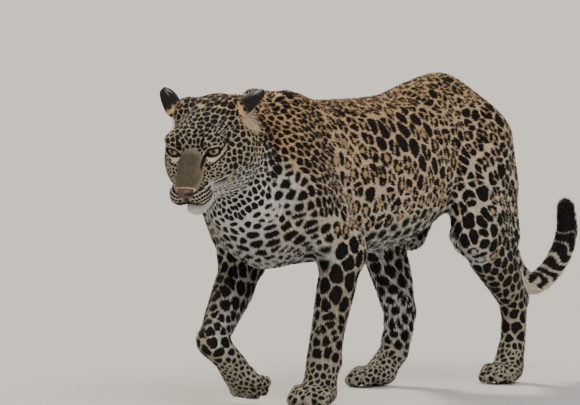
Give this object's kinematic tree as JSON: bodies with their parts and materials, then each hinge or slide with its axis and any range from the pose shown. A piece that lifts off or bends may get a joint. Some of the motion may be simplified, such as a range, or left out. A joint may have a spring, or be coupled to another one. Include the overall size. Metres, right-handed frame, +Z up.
{
  "type": "leopard",
  "caption": "Life-size standing museum model of a leopard walking with its head low, one forepaw lifted, ears turned back and the tail curled up behind it.",
  "frame": {"origin": "middle of the bounding box on the floor that the paws stand on", "axes": "+X towards the tail, so the animal faces -X; +Y towards its right side; +Z up"},
  "size_m": [1.5734, 0.3254, 0.6854],
  "materials": {
    "coat_gold": "short golden fur with dark rosettes",
    "coat_pale": "short pale fur with solid dark spots",
    "tail_coat": "golden fur with dark bands and a dark tip",
    "ear_dark": "dark velvety fur with a pale patch",
    "eye": "wet, pale yellow-green iris with a round pupil",
    "nose_leather": "damp pinkish brown skin"
  },
  "bodies": {
    "root": {"torso": "coat_gold", "neck": "coat_gold", "head": "coat_gold", "ear_left": "ear_dark", "ear_right": "ear_dark", "eye_left": "eye", "eye_right": "eye", "nose": "nose_leather", "foreleg_left": "coat_pale", "foreleg_right": "coat_pale", "forepaw_left": "coat_pale", "forepaw_right": "coat_pale", "hindleg_left": "coat_pale", "hindleg_right": "coat_pale", "hindpaw_left": "coat_pale", "hindpaw_right": "coat_pale", "tail_root": "tail_coat", "tail_middle": "tail_coat", "tail_end": "tail_coat"}
  },
  "joints": []
}
